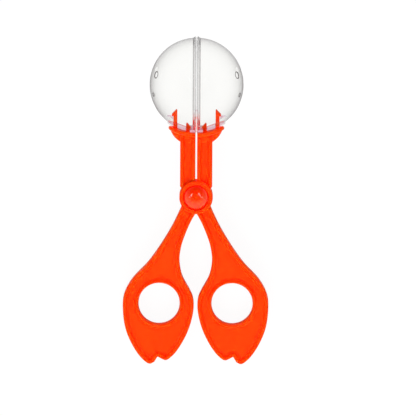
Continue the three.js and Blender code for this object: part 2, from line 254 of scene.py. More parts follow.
class CatcherHandles(bpy.types.PropertyGroup):
    """The handles with their finger holes and claws."""

    length: length("Length", "From the pivot to the tip of the tall claw", 0.09)
    hole: length("Finger hole", "Radius of the finger hole", 0.01095)
    ring: length("Ring", "Width of the ring round the finger hole", 0.00135)


class CatcherHub(bpy.types.PropertyGroup):
    """The hub and its snap rivet."""

    radius: length("Radius", "Radius of the hub", 0.00893)
    half: length("Half thickness", "From the lap to the hub's face", 0.0048)
    round: length("Round", "Radius of the hub's edges", 0.0006)
    counterbore: length("Counterbore", "Depth of the seat of a rivet head", 0.0024)
    head_edge: length("Head edge", "Thickness of a rivet head at its rim", 0.0012)
    crown: length("Crown", "How far a rivet head's dome rises above its rim", 0.0014)
    head_round: length("Head round", "Radius of a rivet head's edge", 0.0004)
    shank: length("Shank", "Radius of the rivet's shank", 0.003)
    bore: length("Bore", "Radius of the bore in the shank", 0.0016)
    roof: length("Roof", "Solid left between the shank's bore and the head's rim", 0.0009)


class CatcherCup(bpy.types.PropertyGroup):
    """The cup that holds a half ball."""

    half_depth: length("Half depth", "From the middle of the cup to its front", 0.0091)
    wall: length("Wall", "Thickness of the cup", 0.0019)
    gusset_half_width: length("Gusset half width", "Half width of the swelling under the cup", 0.0141)
    gusset_depth: length("Gusset depth", "Height of that swelling", 0.0111)
    gusset_half_depth: length("Gusset half depth", "From its middle to its front", 0.0039)
    gusset_lift: length("Gusset lift", "From the seat's bottom to its widest place", 0.0042)
    blend: length("Blend", "Fillet between the swelling and the cup", 0.0006)


def hook_sizes(start, thick, under, nose, crown):
    """The sizes of a snap hook, drawn for the right half of the tool."""
    return {
        "start": length("From", "From the split to the hook's straight side", start),
        "thick": length("Thickness", "Thickness of the stem", thick),
        "under": length("Under", "From the seat's bottom to the barb's underside", under),
        "nose": length("Nose", "Height of the slanted nose", nose),
        "crown": length("Crown", "Width of the nose's end", crown),
    }


class CatcherTallHook(bpy.types.PropertyGroup):
    """The snap hook away from the split."""

    __annotations__ = hook_sizes(0.0102, 0.0021, 0.0095, 0.0025, 0.00045)


class CatcherShortHook(bpy.types.PropertyGroup):
    """The snap hook next to the flange."""

    __annotations__ = hook_sizes(0.0055, 0.002, 0.0022, 0.0026, 0.0006)


class CatcherHooks(bpy.types.PropertyGroup):
    """Both snap hooks of a lever."""

    depth: length("Depth", "Size of the hooks along the rivet's axis", 0.005)
    root: length("Root", "How deep a hook is rooted in the cup", 0.0012)
    edge: length("Edge round", "Radius of the hooks' edges", 0.00025)
    barb: length("Barb", "How far a barb stands out", 0.0008)
    lip: length("Lip", "Height of a barb's outside face", 0.0008)
    tall: PointerProperty(type=CatcherTallHook)
    short: PointerProperty(type=CatcherShortHook)


class CatcherShells(bpy.types.PropertyGroup):
    """The clear half balls."""

    wall: length("Wall", "Thickness of a half ball", 0.0016)
    proud: length("Proud", "How far the flange and the seat band stand out", 0.0009)
    flange_width: length("Flange width", "Width of the flange beside the split", 0.002)
    flange_tip: length("Flange tip", "From the split to the flange's crest", 0.00065)
    flange_bevel: length("Flange bevel", "Fall from the crest to the mating face", 0.0006)
    flange_depth: length("Flange depth", "From the crest in to the flange's inside edge", 0.0029)
    overhang: length("Overhang", "How far the seat band shows past the cup", 0.0008)
    vent: length("Vent", "Radius of the vents", 0.0016)
    gate_vent: length("Gate vent", "Radius of the small vent", 0.0008)
    ledge: length("Ledge", "How far the latch ledges run past a hook", 0.001)


class CatcherFinish(bpy.types.PropertyGroup):
    """Colours, painted shades, glows and reflections, and gloss."""

    orange: colour("Orange", "Colour of the levers", (1.0, 0.069, 0.002))
    # Deep orange: painted shade in corners, grooves and on the rivet head; the levers' random mottle uses it
    # too.
    deep: colour("Deep orange", "Colour in corners and grooves", (1.0, 0.014, 0.0005))
    # Glow: a painted glow, an emission in corners and grooves that stands in for light through the plastic.
    glow: colour("Glow", "Light that comes through the plastic in corners and grooves", (0.8, 0.005, 0.0))
    clear: colour("Clear", "Colour of the half balls seen square on", (0.995, 0.995, 0.99))
    # The dark tint that paints the half balls' grey shade seen edge on, round the vents and on the flange.
    painted_edge_shade: colour("Clear edge", "Colour of the half balls seen edge on", (0.05, 0.03, 0.03))
    frost: colour("Frost", "Colour of the half balls' seat", (0.72, 0.6, 0.72))
    # Foot: a painted dark pink reflection of the orange cup at the flanges' foot.
    foot: colour("Foot", "Colour of the flanges' foot", (0.45, 0.15, 0.22))
    # A painted reflection of the orange cup, on the flange next to the cup and along the seat's line.
    flush: colour("Flush", "Colour that the flange takes on next to the cup", (0.9, 0.23, 0.21))
    passing: colour("Passing", "Light that passes the half balls to what is behind", (0.995, 0.995, 0.995))
    mottle: factor("Mottle", "How far the levers' colour clouds towards deep orange", 0.05)
    lever_rough: factor("Lever roughness", "Roughness of the levers' smoothest places", 0.25)
    lever_shine: factor("Lever shine", "Specular level of the levers", 0.07)
    rivet_rough: factor("Rivet roughness", "Roughness of the rivet's smoothest places", 0.08)
    rivet_shine: factor("Rivet shine", "Specular level of the rivet", 0.6)
    clear_rough: factor("Clear roughness", "Roughness of the half balls' smoothest places", 0.015)
    # The wall's, the vents' and the flange's shades are painted grey shade.
    wall_shade: factor("Wall shade", "How grey the half balls are edge on", 0.7)
    vent_shade: factor("Vent shade", "How grey the vents' edges are", 0.8)
    wall_gloss: factor("Wall gloss", "How much the half balls reflect edge on", 0.3)
    flange_shade: factor("Flange shade", "How much greyer the flange is edge on", 0.6)
    frosting: factor("Frosting", "How far the frosted seat hides what is behind it", 0.8)


class CatcherStage(bpy.types.PropertyGroup):
    """Camera, lamps and floor."""

    height: length("Camera height", "From the table to the camera", 8.0)
    across: length("View", "What the picture takes in across, at the hub's face", 0.2219)
    centre_x: length("Centre x", "Middle of the picture, to the right of the hub", 0.0064)
    centre_y: length("Centre y", "Middle of the picture, along the tool from the hub", -0.0061)
    roll: FloatProperty(name="Roll", description="Turn of the camera", default=0.005, subtype="ANGLE")
    floor: length("Floor", "Half the side of the floor", 2.0)
    key: power("Key", "Power of the lamp at the handles' end", 14)
    back: power("Back", "Power of the lamp at the ball's end", 4)
    strips: power("Strips", "Power of each strip lamp", 0.6)
    fill: FloatProperty(name="Fill", description="Strength of the surroundings' light", default=0.6)
    horizon: FloatProperty(name="Horizon", description="Brightness of the horizon in gloss", default=1.0)
    steps: IntProperty(name="Steps", description="Points round a circle", default=192)


class Catcher(bpy.types.PropertyGroup):
    """All the sizes and colours of the insect catcher."""

    gaps: PointerProperty(type=CatcherGaps)
    plates: PointerProperty(type=CatcherPlates)
    arms: PointerProperty(type=CatcherArms)
    handles: PointerProperty(type=CatcherHandles)
    hub: PointerProperty(type=CatcherHub)
    cup: PointerProperty(type=CatcherCup)
    hooks: PointerProperty(type=CatcherHooks)
    shells: PointerProperty(type=CatcherShells)
    finish: PointerProperty(type=CatcherFinish)
    stage: PointerProperty(type=CatcherStage)


def settings():
    """The scene's own copies of the property groups."""
    return bpy.context.scene.catcher


def ball_middle():
    """Height of the balls' centre above the pivot: seat, gap, and the radius of the seat band."""
    c = settings()
    return c.arms.reach + c.gaps.fit + SHELL_HIGH.x + c.shells.proud


def seat_radius():
    """Radius of the half ball's seat band."""
    return SHELL_HIGH.x + settings().shells.proud


def cup_radius():
    """Radius of the cup's seat."""
    return seat_radius() + settings().gaps.fit


def arc(centre, radius, start, end, steps):
    """Points (steps + 1, 2) on a circle's arc between two angles in degrees: centre plus radius times
    cosine and sine."""
    angles = np.radians(np.linspace(start, end, steps + 1))
    return np.column_stack([centre[0] + radius * np.cos(angles), centre[1] + radius * np.sin(angles)])


def full_turn(steps):
    """The angles of even steps round a circle, in radians."""
    return np.arange(steps) * 2 * math.pi / steps


def grid_faces(rows, columns, first=0):
    """Corner numbers of the quads of a grid whose points are stored row by row, and whose last row meets the
    first."""
    i, j = np.meshgrid(np.arange(rows), np.arange(columns - 1), indexing="ij")
    below, beside = (i + 1) % rows, j + 1
    corners = [i * columns + j, i * columns + beside, below * columns + beside, below * columns + j]
    return first + np.stack([c.ravel() for c in corners], axis=1)


def new_object(name, data):
    """An object in the scene."""
    made = bpy.data.objects.new(name, data)
    bpy.context.scene.collection.objects.link(made)
    return made


def new_piece(name, points, faces):
    """An object from points (n, 3) in the tool's frame and faces as lists of corner numbers. Points that
    coincide are merged, so that poles and seams are closed, and its faces are turned outwards."""
    mesh = bpy.data.meshes.new(name)
    mesh.from_pydata(points, [], faces)
    work = bmesh.new()
    work.from_mesh(mesh)
    bmesh.ops.remove_doubles(work, verts=work.verts, dist=SAME_POINT)
    bmesh.ops.dissolve_degenerate(work, edges=work.edges, dist=NO_EDGE)
    bmesh.ops.recalc_face_normals(work, faces=work.faces)
    work.to_mesh(mesh)
    work.free()
    return new_object(name, mesh)


def lathe(name, profile, steps):
    """A profile (n, 2) of radius and height that starts and ends on the z axis, turned round it: each point
    goes to radius times cosine and sine of the turn."""
    turns = full_turn(steps)
    radius, height = np.asarray(profile).T
    x, y = np.outer(np.cos(turns), radius), np.outer(np.sin(turns), radius)
    points = np.stack([x, y, np.tile(height, (steps, 1))], axis=2)
    return new_piece(name, points.reshape(-1, 3), grid_faces(steps, len(radius)).tolist())


def change(piece, formula):
    """Moves the piece's points by a formula on the whole array of them."""
    points = np.empty(len(piece.data.vertices) * 3)
    piece.data.vertices.foreach_get("co", points)
    piece.data.vertices.foreach_set("co", formula(points.reshape(-1, 3)).ravel())
    piece.data.update()
    return piece


def combine(operation, whole, *parts):
    """The whole joined with each part, cut by it or kept only inside it."""
    for part in parts:
        modifier = whole.modifiers.new("combine", "BOOLEAN")
        modifier.operation = operation
        modifier.solver = "MANIFOLD"
        modifier.object = part
        depsgraph = bpy.context.evaluated_depsgraph_get()
        result = bpy.data.meshes.new_from_object(whole.evaluated_get(depsgraph))
        whole.modifiers.clear()
        if not result.polygons:
            raise RuntimeError(f"{operation} of {whole.name} with {part.name} left nothing")
        whole.data = result
        bpy.data.objects.remove(part)
    return whole


def block(side, low, high):
    """A cutter: the box between two corners that are given for the right side, as a grid of eight points."""
    xs = sorted((side * low[0], side * high[0]))
    points = [(x, y, z) for x in xs for y in (low[1], high[1]) for z in (low[2], high[2])]
    faces = [(0, 1, 3, 2), (4, 6, 7, 5), (0, 4, 5, 1), (2, 3, 7, 6), (0, 2, 6, 4), (1, 5, 7, 3)]
    return new_piece("block", points, faces)


def ball(radius):
    """A cutter: a sphere about the balls' centre, its profile a half circle from pole to pole."""
    steps = settings().stage.steps
    profile = arc((0, 0), radius, -90, 90, steps // 2)
    profile[[0, -1], 0] = 0
    return change(lathe("ball", profile, steps), lambda p: p + [0, ball_middle(), 0])


def column(radius, low, high, steps):
    """A cutter: a cylinder about the rivet's axis."""
    return lathe("column", [(0, low), (radius, low), (radius, high), (0, high)], steps)


def smooth_line(knots):
    """A centripetal Catmull-Rom curve through knots: on each span a cubic whose end tangents are the slopes
    of the neighbouring chords, weighted by the square roots of the chords' lengths."""
    knots = np.asarray(knots, float)
    padded = np.vstack([2 * knots[0] - knots[1], knots, 2 * knots[-1] - knots[-2]])
    chords = np.linalg.norm(np.diff(padded, axis=0), axis=1)[:, None] ** 0.5
    before, here, after = chords[:-2], chords[1:-1], chords[2:]
    a, b, c, d = padded[:-3], padded[1:-2], padded[2:-1], padded[3:]
    leave = ((b - a) / before - (c - a) / (before + here) + (c - b) / here) * here
    arrive = ((c - b) / here - (d - b) / (here + after) + (d - c) / after) * here
    t = (np.arange(SPAN_STEPS) / SPAN_STEPS)[None, :, None]
    cubic = [b, leave, -3 * b + 3 * c - 2 * leave - arrive, 2 * b - 2 * c + leave + arrive]
    curve = sum(term[:, None, :] * t**exponent for exponent, term in enumerate(cubic))
    return np.vstack([curve.reshape(-1, 2), knots[-1:]])


def softened(outline, spacing, softness):
    """A closed outline at even spacing, each point replaced by the bell-shaped average of its neighbours,
    which rounds the corners."""
    loop = np.vstack([outline, outline[:1]])
    along = np.concatenate([[0], np.cumsum(np.linalg.norm(np.diff(loop, axis=0), axis=1))])
    count = int(along[-1] / spacing)
    even = np.arange(count) * along[-1] / count
    points = np.column_stack([np.interp(even, along, loop[:, k]) for k in (0, 1)])
    reach = np.arange(count)
    distance = np.minimum(reach, count - reach) * along[-1] / count
    bell = np.exp(-0.5 * (distance / softness) ** 2)
    weights = np.fft.rfft(bell / bell.sum())
    return np.fft.irfft(np.fft.rfft(points, axis=0) * weights[:, None], n=count, axis=0)


def inward(outline):
    """Unit normals that point into an anticlockwise outline, from the difference of the two neighbours."""
    along = np.roll(outline, -1, axis=0) - np.roll(outline, 1, axis=0)
    along /= np.linalg.norm(along, axis=1)[:, None]
    return np.column_stack([-along[:, 1], along[:, 0]])


def room(outline, normals):
    """How far each point can move inwards before it meets the middle line of the outline: the smallest
    radius of a circle that touches the outline there and passes through any other point of it."""
    apart = outline[None] - outline[:, None]
    ahead = np.einsum("ijk,ik->ij", apart, normals)
    square = (apart**2).sum(axis=2)
    radii = np.full_like(square, np.inf)
    np.divide(square, 2 * ahead, out=radii, where=ahead > NOTHING)
    return radii.min(axis=1)


def band(outline, profile):
    """A profile (n, 2) of depth into the material and height, from the back face to the front face, carried
    along a closed outline: point plus depth times the inward normal. Where the outline is too narrow the
    depth stops at its middle line, at the height that the profile has there."""
    normals = inward(outline)
    depth, height = np.asarray(profile).T
    limit = ROOM_SHARE * room(outline, normals)[:, None]
    half = len(depth) // 2
    front = np.interp(limit, depth[half:], height[half:])
    held = np.where(np.arange(len(depth)) < half, -front, front)
    flat = outline[:, None, :] + np.minimum(depth, limit)[..., None] * normals[:, None, :]
    return np.dstack([flat, np.where(depth < limit, height, held)])


def hook_profile(half, edge):
    """Depth and height of a hook's wall with its rounded edges, from its back face to its front face."""
    front = arc((edge, half - edge), edge, 180, 90, HOOK_STEPS)
    return np.vstack([front[::-1] * [1, -1], front])


def pocket_profile(plates, rim, edge):
    """Depth and height from the middle of the back web out over the rim, round the edge and back over the
    front rim down to the front web, with arcs for the edge, the rim's soft edge and the fillet."""
    top, wall = plates.half, rim + plates.draft
    front = np.vstack([
        arc((1, 0), 1, 180, 90, 2 * EDGE_STEPS) * edge + [0, top - edge[1]],
        arc((rim - plates.soft, top - plates.soft), plates.soft, 90, 0, EDGE_STEPS),
        arc((wall + plates.fillet, plates.web + plates.fillet), plates.fillet, 180, 270, 2 * EDGE_STEPS),
        [[wall + plates.fillet + plates.edge * share, plates.web] for share in FLOOR_SHARES],
    ])
    return np.vstack([front[::-1] * [1, -1], front])


def filled(outlines):
    """Triangles of a flat region between an outline and its holes."""
    return tessellate_polygon([[Vector((x, y, 0)) for x, y in outline] for outline in outlines])


def plate(name, outline, profile, hole=None):
    """A plate closed on itself: the profile carried along the outline, the same round the hole, and two flat
    faces between them."""
    bands = [band(outline, profile)]
    if hole is not None:
        middle, radius, ring, steps = hole
        turns = full_turn(steps)
        circle = np.asarray(middle) + radius * np.column_stack([np.cos(turns), np.sin(turns)])
        depth, height = ring.T
        reach = 1 + depth / radius
        flat = np.asarray(middle) + (circle - middle)[:, None, :] * reach[None, :, None]
        bands.append(np.dstack([flat, np.tile(height, (steps, 1))]))
    points, faces, loops = [], [], ([], [])
    for surface in bands:
        rows, columns = surface.shape[:2]
        first = sum(map(len, points))
        points.append(surface.reshape(-1, 3))
        faces += grid_faces(rows, columns, first).tolist()
        for loop, column_number in zip(loops, (0, columns - 1)):
            loop.append(first + np.arange(rows) * columns + column_number)
    points = np.vstack(points)
    for loop in loops:
        numbers = np.concatenate(loop)
        corners = filled([points[ring][:, :2] for ring in loop])
        faces += numbers[np.array(corners)].tolist()
    return new_piece(name, points, faces)


def rimmed_plate(name, outline, hole=None):
    """A plate with softened corners, a rim and a sunk web."""
    plates = settings().plates
    profile = pocket_profile(plates, plates.rim, (plates.edge, plates.edge))
    return plate(name, softened(outline, plates.spacing, plates.corner), profile, hole)


def arm_plate():
    """The right arm: a rimmed plate with a square shoulder and a cut corner at the hub."""
    c = settings()
    left, top = c.gaps.arms / 2, c.arms.reach + c.cup.wall
    low = c.arms.foot - c.arms.rise
    hub_edge = math.sqrt(c.hub.radius**2 - low**2) - c.gaps.fit
    right = c.arms.half_width
    outline = [(left, 0), (hub_edge, 0), (hub_edge, low), (right, c.arms.foot), (right, top), (left, top)]
    return rimmed_plate("arm", np.array(outline))


def handle_plate():
    """The left handle: a rimmed plate with a ring round its finger hole and two claws at its end."""
    c = settings()
    reach = np.array([LEVER_LOW.x + MARGIN, -c.handles.length])
    crotch = -c.gaps.crotch / 2
    inner = np.vstack([INNER_EDGE_SHARES * reach, [(crotch, -c.hub.radius)]])
    outer = smooth_line(OUTER_EDGE_SHARES * reach)
    outline = np.vstack([outer, [NOTCH_SHARE * reach], smooth_line(inner), [(crotch, 0)]])
    ring = pocket_profile(c.plates, c.handles.ring, (c.handles.ring - c.plates.soft, c.plates.half))
    return rimmed_plate("handle", outline, (FINGER_HOLE_SHARE * reach, c.handles.hole, ring, c.stage.steps))


def hub_disc():
    """Half of the lapped hub: a disc with a rounded edge, from the lap to its face."""
    c = settings()
    lap, r = c.gaps.fit / 2, c.hub.round
    profile = np.vstack([
        [(0, lap), (c.hub.radius - r / 2, lap)],
        arc((c.hub.radius - r / 2, lap + r / 2), r / 2, -90, 0, EDGE_STEPS // 2),
        arc((c.hub.radius - r, c.hub.half - r), r, 0, 90, EDGE_STEPS),
        [(0, c.hub.half)],
    ])
    return lathe("hub", profile, c.stage.steps)


def oval_radius(half_width, half_depth):
    """Radius of an ellipse at each turn from the x axis, as a column."""
    turns = full_turn(settings().stage.steps)[:, None]
    return 1 / np.sqrt((np.cos(turns) / half_width) ** 2 + (np.sin(turns) / half_depth) ** 2)


def on_sphere(radius, angle):
    """Distance from the tool's y axis and height of points on a sphere about the balls' centre: radius times
    the sine of their angle from straight down, and the centre's height less radius times its cosine."""
    return radius * np.sin(angle), ball_middle() - radius * np.cos(angle)


def polar_piece(name, radius, height):
    """A closed body from radius and height tables (turn, profile point) about the tool's y axis, which start
    and end on that axis."""
    turns = full_turn(len(radius))[:, None]
    points = np.stack([radius * np.cos(turns), height, radius * np.sin(turns)], axis=2)
    return new_piece(name, points.reshape(-1, 3), grid_faces(*radius.shape).tolist())


def cup_bowl():
    """The cup, both halves in one. In each plane through the tool's y axis its outside is the lower of a
    sphere and of the swelling's ellipse, blended where they meet, its lip is a half circle as thick as the
    wall, and its inside is the seat's sphere."""
    c = settings()
    lip = c.cup.wall / 2
    outer, inner = cup_radius() + c.cup.wall, cup_radius()
    rim = oval_radius(LEVER_HIGH.x - lip, c.cup.half_depth - lip)
    swell = oval_radius(c.cup.gusset_half_width, c.cup.gusset_half_depth)
    tip = np.arcsin(rim / (inner + lip))
    share = np.linspace(0, 1, ARC_STEPS + 1)[None, :]
    under_r, sphere = on_sphere(outer, tip * share)
    across = np.minimum(under_r / swell, 1)
    ellipse = c.arms.reach + c.cup.gusset_lift - c.cup.gusset_depth * np.sqrt(1 - across**2)
    ellipse = np.where(under_r < swell, ellipse, sphere + c.cup.gusset_depth * (under_r / swell - 1))
    gap = np.clip(0.5 + 0.5 * (ellipse - sphere) / c.cup.blend, 0, 1)
    under_y = ellipse + (sphere - ellipse) * gap - c.cup.blend * gap * (1 - gap)
    under_y = np.minimum(under_y, sphere)
    half_turn = np.linspace(-math.pi / 2, math.pi / 2, LIP_STEPS + 1)[None, 1:-1]
    lip_r, lip_y = on_sphere(inner + lip, tip)
    lip_r, lip_y = lip_r + lip * np.cos(tip + half_turn), lip_y + lip * np.sin(tip + half_turn)
    seat_r, seat_y = on_sphere(inner, tip * (1 - share))
    return polar_piece("cup", np.hstack([under_r, lip_r, seat_r]), np.hstack([under_y, lip_y, seat_y]))


def hook(size, facing):
    """A snap hook: an outline of stem, barb and slanted nose, with its walls and rounded edges carried round
    it. facing is the way that the barb points along x."""
    c = settings()
    back = size.start
    face = back + facing * size.thick
    tip = face + facing * c.hooks.barb
    under = c.arms.reach + size.under
    root = ball_middle() - math.sqrt(cup_radius() ** 2 - ((back + face) / 2) ** 2) - c.hooks.root
    slant = under + c.hooks.lip
    crown = slant + size.nose
    outline = np.array([
        (back, root), (face, root), (face, under), (tip, under), (tip, slant),
        (back + facing * size.crown, crown), (back, crown - size.crown),
    ])[::facing]
    outline = softened(outline, c.plates.spacing / 2, c.hooks.edge / 2)
    return plate("hook", outline, hook_profile(c.hooks.depth / 2, c.hooks.edge))


def lever(name):
    """One lever moulding: right arm, front half of the lapped hub, left handle, half cup and two hooks."""
    c = settings()
    steps, over, fit, face = c.stage.steps, c.gaps.overrun, c.gaps.fit, c.hub.half
    low, depth = c.arms.reach - c.cup.gusset_depth, c.cup.half_depth + over
    right = block(1, (c.gaps.arms / 2, low, -depth), (LEVER_HIGH.x + over, ball_middle(), depth))
    lap = column(c.hub.radius + fit, -c.plates.half - over, fit / 2, steps)
    counterbore = column(HEAD_HIGH.x + c.gaps.heads, face - c.hub.counterbore, face + over, steps)
    shank = column(c.hub.shank + fit, -over, face, steps)
    whole = combine("UNION", arm_plate(), handle_plate())
    whole.name = name
    combine("DIFFERENCE", whole, lap, ball(cup_radius()))
    combine("UNION", whole, hub_disc(), combine("INTERSECT", cup_bowl(), right))
    combine("UNION", whole, hook(c.hooks.tall, 1), hook(c.hooks.short, -1))
    return combine("DIFFERENCE", whole, counterbore, shank)


def vent(side, share, radius, steps):
    """A cutter: a cylinder through the wall, its axis through the ball's centre."""
    towards = np.array([side * share[0], share[1], share[2]])
    towards /= np.linalg.norm(towards)
    across = np.cross(towards, (0, 0, 1.0))
    across /= np.linalg.norm(across)
    turned = np.column_stack([across, np.cross(towards, across), towards])
    cylinder = column(radius, SHELL_HIGH.x / 2, SHELL_HIGH.x * 3 / 2, steps)
    return change(cylinder, lambda p: p @ turned.T + [0, ball_middle(), 0])


def half_ball(side):
    """The wall and flange of one half ball: a profile of radius and height turned about the x axis."""
    c = settings()
    outer, inner = SHELL_HIGH.x, SHELL_HIGH.x - c.shells.wall
    face, width, crest = SHELL_LOW.x, c.shells.flange_width, seat_radius() - MARGIN
    bore = crest - c.shells.flange_depth
    soft = c.shells.flange_bevel / 2
    start_in = math.degrees(math.asin(width / inner))
    start_out = math.degrees(math.asin(width / outer))
    profile = np.vstack([
        arc((0, 0), inner, 90, start_in, 2 * ARC_STEPS),
        [(bore + soft / 2, width), (bore, width - soft / 2)],
        [(bore, face + soft / 2), (bore + soft / 2, face)],
        [(crest - c.shells.flange_bevel, face), (crest, c.shells.flange_tip)],
        arc((0, 0), outer, start_out, 90, 2 * ARC_STEPS),
    ])
    profile[[0, -1], 0] = 0
    body = lathe("shell", profile, 2 * c.stage.steps)
    middle = ball_middle()
    return change(body, lambda p: np.column_stack([side * p[:, 2], p[:, 0] + middle, side * p[:, 1]]))


def seat_band(side):
    """The band that seats in the cup: in each plane through the tool's y axis it runs along the seat's
    sphere, up an oval wall with a rounded edge, and back inside the ball's wall."""
    c = settings()
    outer, inner = seat_radius(), SHELL_HIGH.x - c.shells.wall / 2
    middle = ball_middle()
    rim = oval_radius(LEVER_HIGH.x + c.shells.overhang, c.cup.half_depth + c.shells.overhang)
    soft = c.shells.proud / 3
    share = np.linspace(0, 1, SEAT_STEPS + 1)[None, :]
    outside = on_sphere(outer, np.arcsin((rim - soft) / outer) * share)
    inside = on_sphere(inner, np.arcsin(rim / inner) * (1 - share))
    low = (c.shells.flange_width / 2, middle - outer - c.gaps.overrun, -inner)
    body = polar_piece("band", *map(np.hstack, zip(outside, inside)))
    return combine("INTERSECT", body, block(side, low, (inner, middle, inner)))


def half_shell(name, side):
    """A clear half ball: wall, flange, seat band and latch ledges, with the hooks' slots and its vents."""
    c = settings()
    fit, over = c.gaps.fit, c.gaps.overrun
    tall, short = c.hooks.tall, c.hooks.short
    middle, inner = ball_middle(), SHELL_HIGH.x - c.shells.wall
    wall = SHELL_HIGH.x - c.shells.wall / 2
    bottom = middle - seat_radius() - over
    slot, ledge = c.hooks.depth / 2 + fit, c.hooks.depth / 2 + c.shells.ledge
    tall_ledge, short_ledge = c.arms.reach + tall.under - fit, c.arms.reach + short.under - fit
    tall_face = tall.start + tall.thick + fit
    short_face = short.start - short.thick - fit
    top = middle - inner + c.shells.flange_depth
    whole = half_ball(side)
    whole.name = name
    shelf = block(side, (tall_face, c.arms.reach, -ledge), (wall, tall_ledge, ledge))
    shelf = combine("INTERSECT", shelf, ball(wall))
    foot = block(side, (c.shells.flange_width / 2, bottom, -ledge), (short_face, short_ledge, ledge))
    foot = combine("INTERSECT", foot, ball(seat_radius()))
    combine("UNION", whole, seat_band(side), shelf, foot)
    slots = (
        block(side, (tall.start - fit, bottom, -slot), (tall_face, tall_ledge, slot)),
        block(side, (short_face, bottom, -slot), (short.start + fit, top, slot)),
        block(side, (short_face - c.hooks.barb, short_ledge, -slot), (short_face, top, slot)),
    )
    vents = (vent(side, share, c.shells.vent, VENT_STEPS) for share in VENT_SHARES)
    gate_vent = vent(side, GATE_VENT_SHARE, c.shells.gate_vent, GATE_STEPS)
    return combine("DIFFERENCE", whole, *slots, *vents, gate_vent)


def head_profile():
    """The outside of a rivet head from its underside to the axis: a rounded edge, then a dome that is an arc
    of the circle through rim and crown."""
    c = settings()
    radius, r = HEAD_HIGH.x, c.hub.head_round
    base = c.hub.half - c.hub.counterbore + c.gaps.fit
    rim = base + c.hub.head_edge
    dome = (radius**2 + c.hub.crown**2) / (2 * c.hub.crown)
    start = 90 - math.degrees(math.asin((radius - r / 2) / dome))
    crown = arc((0, rim + c.hub.crown - dome), dome, start, 90, ARC_STEPS)
    crown[-1, 0] = 0
    edge = arc((radius - r, crown[0, 1] - r), r, 0, 60, EDGE_STEPS)
    return np.vstack([[(radius, base)], edge, crown])


def rivet():
    """Both halves of the snap rivet, head outwards: a domed head on a hollow shank, and the same head on a
    plug that enters the shank."""
    c = settings()
    head = head_profile()
    base, fit, bore = head[0, 1], c.gaps.fit, c.hub.bore
    roof, end = base - c.hub.roof, fit - base
    shank = [(0, roof), (bore, roof), (bore, end), (c.hub.shank, end), (c.hub.shank, base)]
    plug = [(0, fit - roof), (bore - fit, fit - roof), (bore - fit, base)]
    button = lathe("rivet_button", np.vstack([shank, head]), c.stage.steps)
    return button, lathe("rivet_cap", np.vstack([plug, head]), c.stage.steps)


def turned_over(piece):
    """The piece turned half round the tool's long axis: x and z change sign."""
    return change(piece, lambda p: p * [-1, 1, -1])


def lay_down(piece, node, body, material):
    """Lays a finished piece on the table: its points are turned about x by the tilt and moved to the pivot.
    It rides on its body, stands for its node and is all of one material."""
    cos, sin = math.cos(TILT), math.sin(TILT)
    turn = np.array([(1, 0, 0), (0, cos, -sin), (0, sin, cos)])
    change(piece, lambda p: p @ turn.T + PIVOT)
    piece.data.shade_smooth()
    piece.data.set_sharp_from_angle(angle=SHARP_ANGLE)
    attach(piece, body)
    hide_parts(node)
    piece.data.materials.clear()
    piece.data.materials.append(material)


class Wire:
    """An output socket that arithmetic works on: each operation adds one Math node."""

    def __init__(self, paint, socket):
        self.paint = paint
        self.socket = socket

    def math(self, operation, *values):
        return self.paint.node("Math", dict(enumerate(values)), operation=operation)

    def __add__(self, other):
        return self.math("ADD", self, other)

    __radd__ = __add__

    def __mul__(self, other):
        return self.math("MULTIPLY", self, other)

    __rmul__ = __mul__

    def __sub__(self, other):
        return self.math("SUBTRACT", self, other)

    def __rsub__(self, other):
        return self.math("SUBTRACT", other, self)

    def __pow__(self, other):
        return self.math("POWER", self, other)

    def __abs__(self):
        return self.math("ABSOLUTE", self)

    def larger(self, other):
        """The larger of two values, which joins two masks."""
        return self.math("MAXIMUM", self, other)


class Paint:
    """The node tree of one material or world, built by calls."""

    def __init__(self, owner):
        owner.use_nodes = True
        self.tree = owner.node_tree
        self.tree.nodes.clear()

    def node(self, kind, inputs=None, output=0, **options):
        """Adds a shader node of this kind, sets its options, then the values or links of its sockets."""
        made = self.tree.nodes.new("ShaderNode" + kind)
        for key, value in options.items():
            setattr(made, key, value)
        for key, value in (inputs or {}).items():
            if isinstance(value, Wire):
                self.tree.links.new(value.socket, made.inputs[key])
            else:
                made.inputs[key].default_value = value
        return Wire(self, made.outputs[output]) if made.outputs else made

    def mix(self, share, first, second):
        """A colour between two colours."""
        first, second = (value if isinstance(value, Wire) else (*value, 1) for value in (first, second))
        return self.node("Mix", {0: share, 6: first, 7: second}, 2, data_type="RGBA")

    def blend(self, share, first, second):
        """A shader between two shaders."""
        return self.node("MixShader", {0: share, 1: first, 2: second})

    def vector(self, operation, first, second=(0, 0, 0), output=0):
        """Arithmetic on places and directions. Output 1 is the number of a length or a dot product."""
        return self.node("VectorMath", {0: first, 1: second}, output, operation=operation)

    def off_axis(self, offset, axis):
        """Distance from an axis through the origin, times the axis's length: the cross product's length."""
        return self.vector("LENGTH", self.vector("CROSS_PRODUCT", offset, axis), output=1)

    def noise(self, coordinates, scale, detail):
        """Cloudy noise from 0 to 1."""
        return self.node("TexNoise", {"Vector": coordinates, "Scale": scale, "Detail": detail})

    def ramp(self, value, start, end):
        """A smooth step from 0 at one value to 1 at the other."""
        inputs = {"Value": value, "From Min": start, "From Max": end}
        return self.node("MapRange", inputs, interpolation_type="SMOOTHSTEP")

    def rays(self, *names):
        """One for the named kinds of ray, and nought for the rest."""
        first, *others = (self.node("LightPath", output=name) for name in names)
        for other in others:
            first = first.larger(other)
        return first


